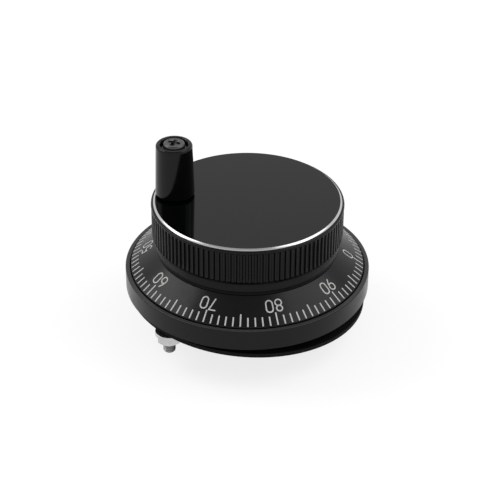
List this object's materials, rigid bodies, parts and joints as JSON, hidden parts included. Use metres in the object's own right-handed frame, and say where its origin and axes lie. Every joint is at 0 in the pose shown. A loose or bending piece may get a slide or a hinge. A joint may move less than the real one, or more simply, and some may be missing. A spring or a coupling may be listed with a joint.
{
  "type": "pulse generator handwheel",
  "caption": "Black panel-mount handwheel with a 100-division dial, a straight-knurled knob with a bright trim ring, a turning crank handle and two rear studs.",
  "frame": {"origin": "centre of the rear case's round body, in the plane of the flange's rear face", "axes": "+Z along the wheel's axis, out of the panel towards the operator; +X to the right and +Y to the far side as the picture sees it, with the crank handle at rest near -X"},
  "size_m": [0.08, 0.08, 0.0655],
  "materials": {
    "black_paint": "satin",
    "black_anodised": "satin",
    "bright_trim": "polished",
    "gloss_face": "gloss",
    "black_plastic": "satin",
    "case_plastic": "matte",
    "gasket_rubber": "matte",
    "zinc_steel": "satin",
    "bearing_steel": "polished",
    "cage_brass": "satin",
    "click_steel": "satin",
    "magnet_ferrite": "matte",
    "board_green": "satin",
    "terminal_green": "matte",
    "disc_metal": "satin",
    "clear_lens": "gloss",
    "black_oxide": "satin",
    "dark_lens": "gloss"
  },
  "bodies": {
    "flange": {"flange_housing": "black_paint", "mounting_studs": "zinc_steel", "stud_washers": "zinc_steel", "stud_nuts": "zinc_steel", "panel_gasket": "gasket_rubber", "rear_case": "case_plastic", "case_screws": "zinc_steel", "circuit_board": "board_green", "board_screws": "zinc_steel", "sensor_fork": "case_plastic", "light_emitter": "clear_lens", "light_sensor": "dark_lens", "line_driver": "case_plastic", "terminal_block": "terminal_green", "terminal_screws": "zinc_steel", "terminal_plates": "zinc_steel", "bearing_outer_rings": "bearing_steel", "pole_plates": "click_steel", "click_magnet": "magnet_ferrite", "click_nut": "zinc_steel"},
    "wheel": {"knob_body": "black_anodised", "dial_ring": "black_anodised", "dial_screws": "zinc_steel", "trim_ring": "bright_trim", "face_plate": "gloss_face", "wheel_spindle": "zinc_steel", "spindle_screw": "zinc_steel", "bearing_inner_rings": "bearing_steel", "click_ring": "click_steel", "disc_hub": "zinc_steel", "encoder_disc": "disc_metal", "disc_nut": "zinc_steel", "handle_post": "zinc_steel", "handle_washer": "black_oxide", "handle_screw": "black_oxide"},
    "balls": {"bearing_balls": "bearing_steel", "bearing_cages": "cage_brass"},
    "handle": {"handle_sleeve": "black_plastic"}
  },
  "joints": [
    {"name": "wheel_spin", "type": "hinge", "parent": "flange", "child": "wheel", "pos_m": [0, 0, 0], "axis": [0, 0, 1], "continuous": true},
    {"name": "ball_train", "type": "hinge", "parent": "flange", "child": "balls", "pos_m": [0, 0, 0], "axis": [0, 0, 1], "continuous": true},
    {"name": "handle_spin", "type": "hinge", "parent": "wheel", "child": "handle", "pos_m": [-0.02345, 0.00267, 0.0315], "axis": [0, 0, 1], "continuous": true}
  ],
  "couplings": [
    {"joint": "ball_train", "follows": "wheel_spin", "ratio": 0.40333}
  ]
}
